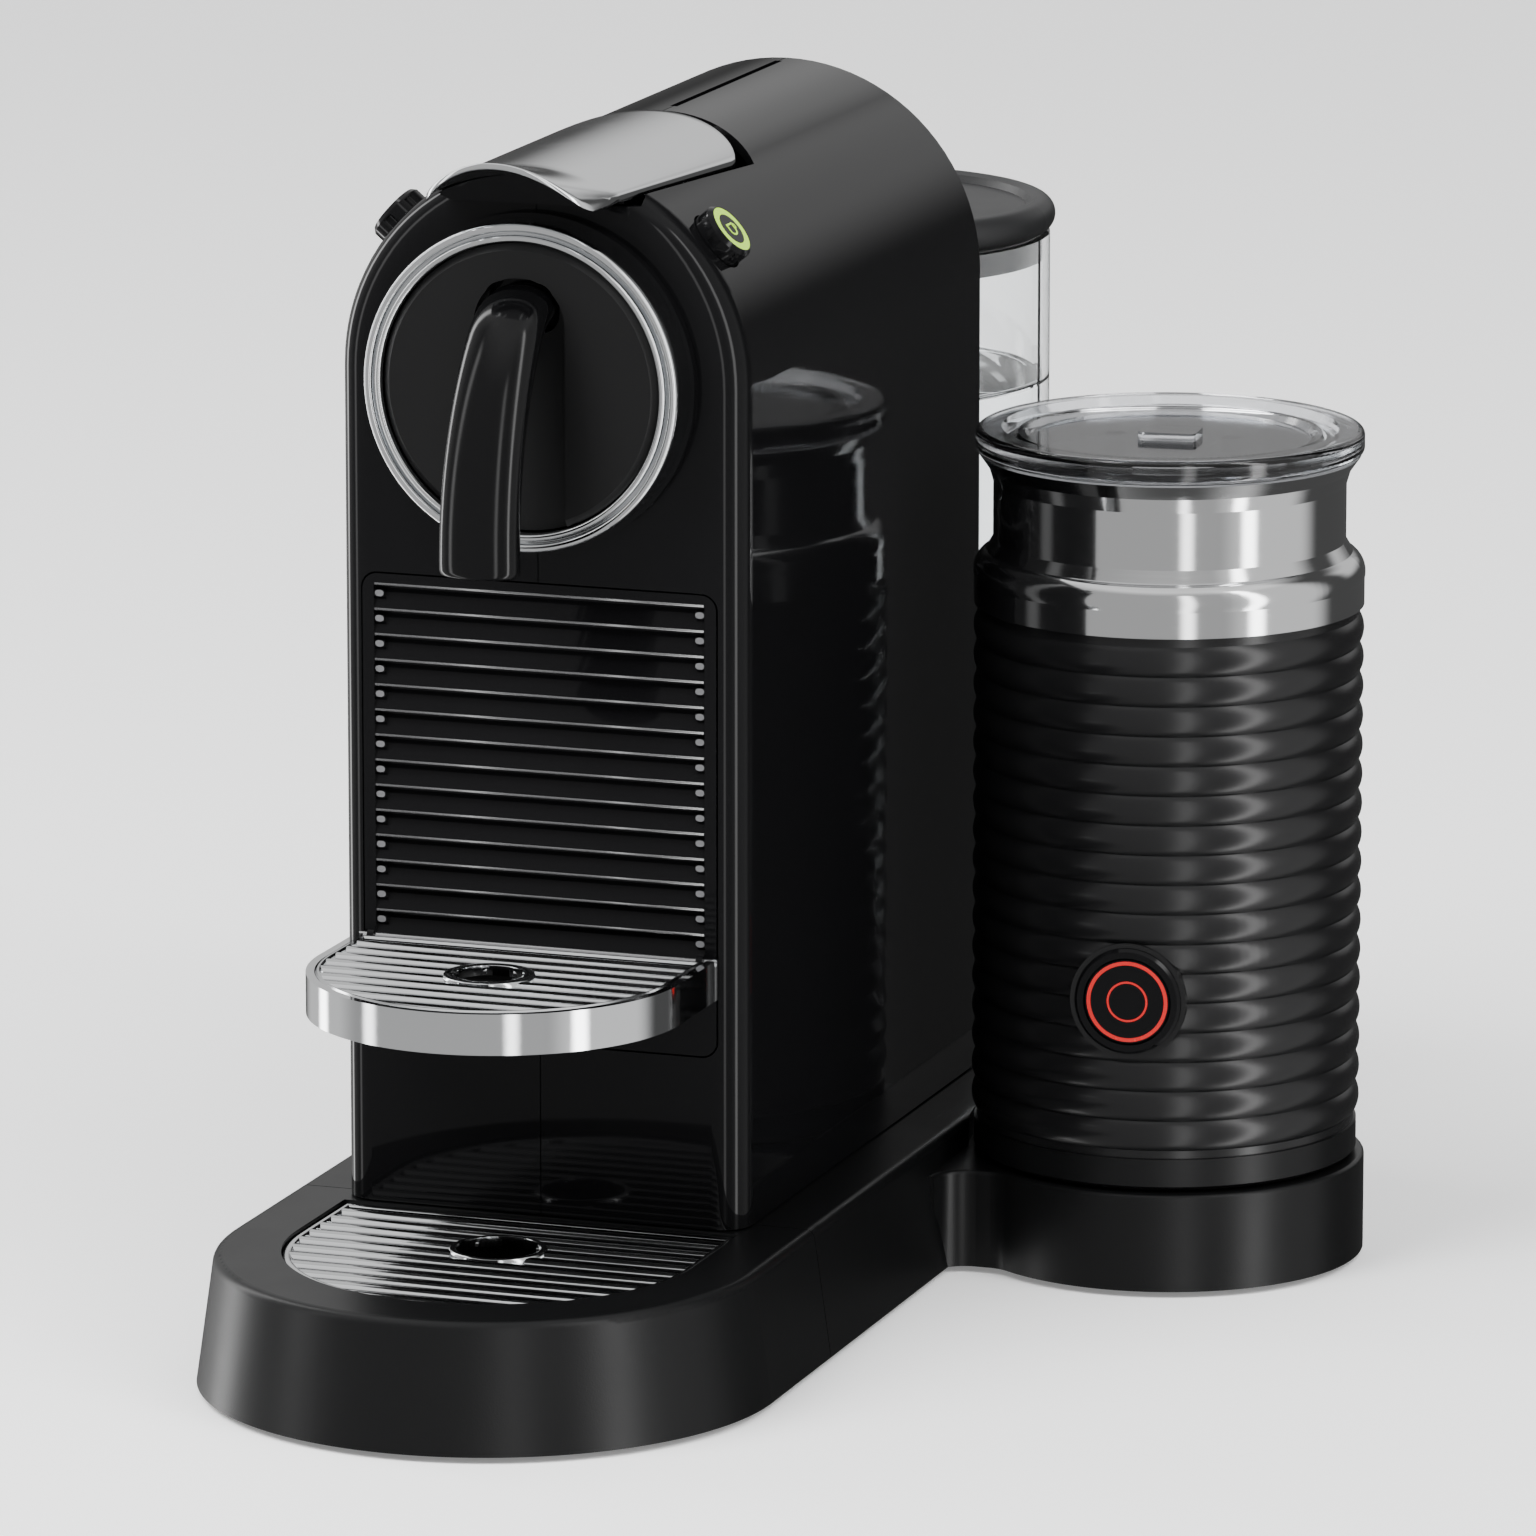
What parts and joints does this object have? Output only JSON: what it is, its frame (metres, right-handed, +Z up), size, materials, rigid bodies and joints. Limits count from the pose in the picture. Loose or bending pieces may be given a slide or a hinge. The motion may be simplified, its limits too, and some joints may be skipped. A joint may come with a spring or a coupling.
{
  "type": "pod coffee machine",
  "caption": "Pod coffee machine with a tunnel-shaped casing, a lifting lever, a folding cup shelf, a drip tray, a rear water tank and a milk frother jug on its own dock.",
  "frame": {"origin": "middle of the footprint, on the table", "axes": "+Z up, +Y towards the back where the water tank stands, +X towards the frother jug"},
  "size_m": [0.225, 0.375, 0.2828],
  "materials": {
    "gloss_black": "polished black ABS",
    "satin_black": "fine satin texture",
    "inner_black": "plain moulded",
    "chrome": "mirror polished plating",
    "steel": "brushed and polished",
    "clear": "clear copolyester",
    "smoke_clear": "clear grey plastic",
    "rubber": "matt elastomer",
    "cast_aluminium": "as cast",
    "brass": "machined",
    "board_green": "solder mask",
    "light_green": "lit light guide",
    "light_red": "lit light guide"
  },
  "bodies": {
    "machine": {"rear_base": "satin_black", "base_cover_plate": "inner_black", "rubber_feet": "rubber", "base_screws": "steel", "side_shell_left": "gloss_black", "side_shell_right": "gloss_black", "back_panel": "satin_black", "outlet_housing": "gloss_black", "outlet_ring": "chrome", "outlet_disc": "satin_black", "coffee_spout": "gloss_black", "spout_nozzle": "inner_black", "brew_frame": "inner_black", "extraction_plate": "steel", "thermoblock": "cast_aluminium", "pump": "steel", "pump_mounts": "rubber", "flow_meter": "inner_black", "water_hoses": "rubber", "control_board": "board_green", "espresso_switch": "inner_black", "lungo_switch": "inner_black", "drawer_rails": "inner_black", "tank_socket": "inner_black", "dock_connector": "steel", "cord_gland": "rubber"},
    "lever": {"lever_cap": "chrome", "lever_arm": "gloss_black", "lever_pin": "steel"},
    "cage": {"capsule_cage": "steel"},
    "drawer": {"grille_panel": "gloss_black", "capsule_bin": "inner_black"},
    "cup_shelf": {"shelf_band": "chrome", "shelf_tray": "inner_black", "shelf_grate": "chrome", "shelf_pin": "steel"},
    "tray": {"drip_tray": "satin_black", "tray_feet": "rubber"},
    "grate": {"drip_grate": "chrome"},
    "button_espresso": {"espresso_button": "gloss_black", "espresso_light": "light_green"},
    "button_lungo": {"lungo_button": "gloss_black", "lungo_light": "light_green"},
    "tank": {"water_tank": "clear", "tank_valve": "inner_black"},
    "tank_cover": {"tank_lid": "satin_black"},
    "jug": {"jug_base": "satin_black", "jug_sleeve": "satin_black", "jug_collar": "steel", "jug_bowl": "steel", "jug_heater": "brass", "jug_motor": "steel", "jug_button_bezel": "gloss_black"},
    "jug_cover": {"jug_lid": "smoke_clear", "lid_seal": "rubber"},
    "button_jug": {"jug_button": "gloss_black", "jug_light": "light_red"},
    "whisk": {"whisk": "steel"},
    "magnet": {"drive_magnet": "steel"}
  },
  "joints": [
    {"name": "lever_hinge", "type": "hinge", "parent": "machine", "child": "lever", "pos_m": [-0.0445, -0.008, 0.2735], "axis": [-1, 0, 0], "range_deg": [0, 70]},
    {"name": "cage_slide", "type": "slide", "parent": "machine", "child": "cage", "axis": [0, 1, 0], "range_m": [0, 0.0315]},
    {"name": "drawer_slide", "type": "slide", "parent": "machine", "child": "drawer", "axis": [0, -1, 0], "range_m": [0, 0.11]},
    {"name": "shelf_fold", "type": "hinge", "parent": "drawer", "child": "cup_shelf", "pos_m": [-0.0445, -0.0901, 0.0959], "axis": [-1, 0, 0], "range_deg": [0, 88]},
    {"name": "tray_slide", "type": "slide", "parent": "machine", "child": "tray", "axis": [0, -1, 0], "range_m": [0, 0.09]},
    {"name": "grate_lift", "type": "slide", "parent": "tray", "child": "grate", "axis": [0, 0, 1], "range_m": [0, 0.04]},
    {"name": "espresso_press", "type": "slide", "parent": "machine", "child": "button_espresso", "axis": [-0.766, 0, -0.6428], "range_m": [0, 0.0015], "stiffness_N_per_m": 500, "springref_m": -0.001},
    {"name": "lungo_press", "type": "slide", "parent": "machine", "child": "button_lungo", "axis": [0.766, 0, -0.6428], "range_m": [0, 0.0015], "stiffness_N_per_m": 500, "springref_m": -0.001},
    {"name": "tank_lift", "type": "slide", "parent": "machine", "child": "tank", "axis": [0, 0, 1], "range_m": [0, 0.21]},
    {"name": "tank_lid_lift", "type": "slide", "parent": "tank", "child": "tank_cover", "axis": [0, 0, 1], "range_m": [0, 0.03]},
    {"name": "jug_lift", "type": "slide", "parent": "machine", "child": "jug", "axis": [0, 0, 1], "range_m": [0, 0.06]},
    {"name": "jug_lid_lift", "type": "slide", "parent": "jug", "child": "jug_cover", "axis": [0, 0, 1], "range_m": [0, 0.03]},
    {"name": "jug_press", "type": "slide", "parent": "jug", "child": "button_jug", "axis": [-0.1045, 0.9945, 0], "range_m": [0, 0.0012], "stiffness_N_per_m": 500, "springref_m": -0.001},
    {"name": "magnet_spin", "type": "hinge", "parent": "jug", "child": "magnet", "pos_m": [0.0647, 0.048, 0.07], "axis": [0, 0, 1], "continuous": true},
    {"name": "whisk_spin", "type": "hinge", "parent": "jug", "child": "whisk", "pos_m": [0.0647, 0.048, 0.084], "axis": [0, 0, 1], "continuous": true}
  ],
  "couplings": [
    {"joint": "cage_slide", "follows": "lever_hinge", "m_per_rad": 0.0249},
    {"joint": "whisk_spin", "follows": "magnet_spin", "ratio": 1}
  ]
}
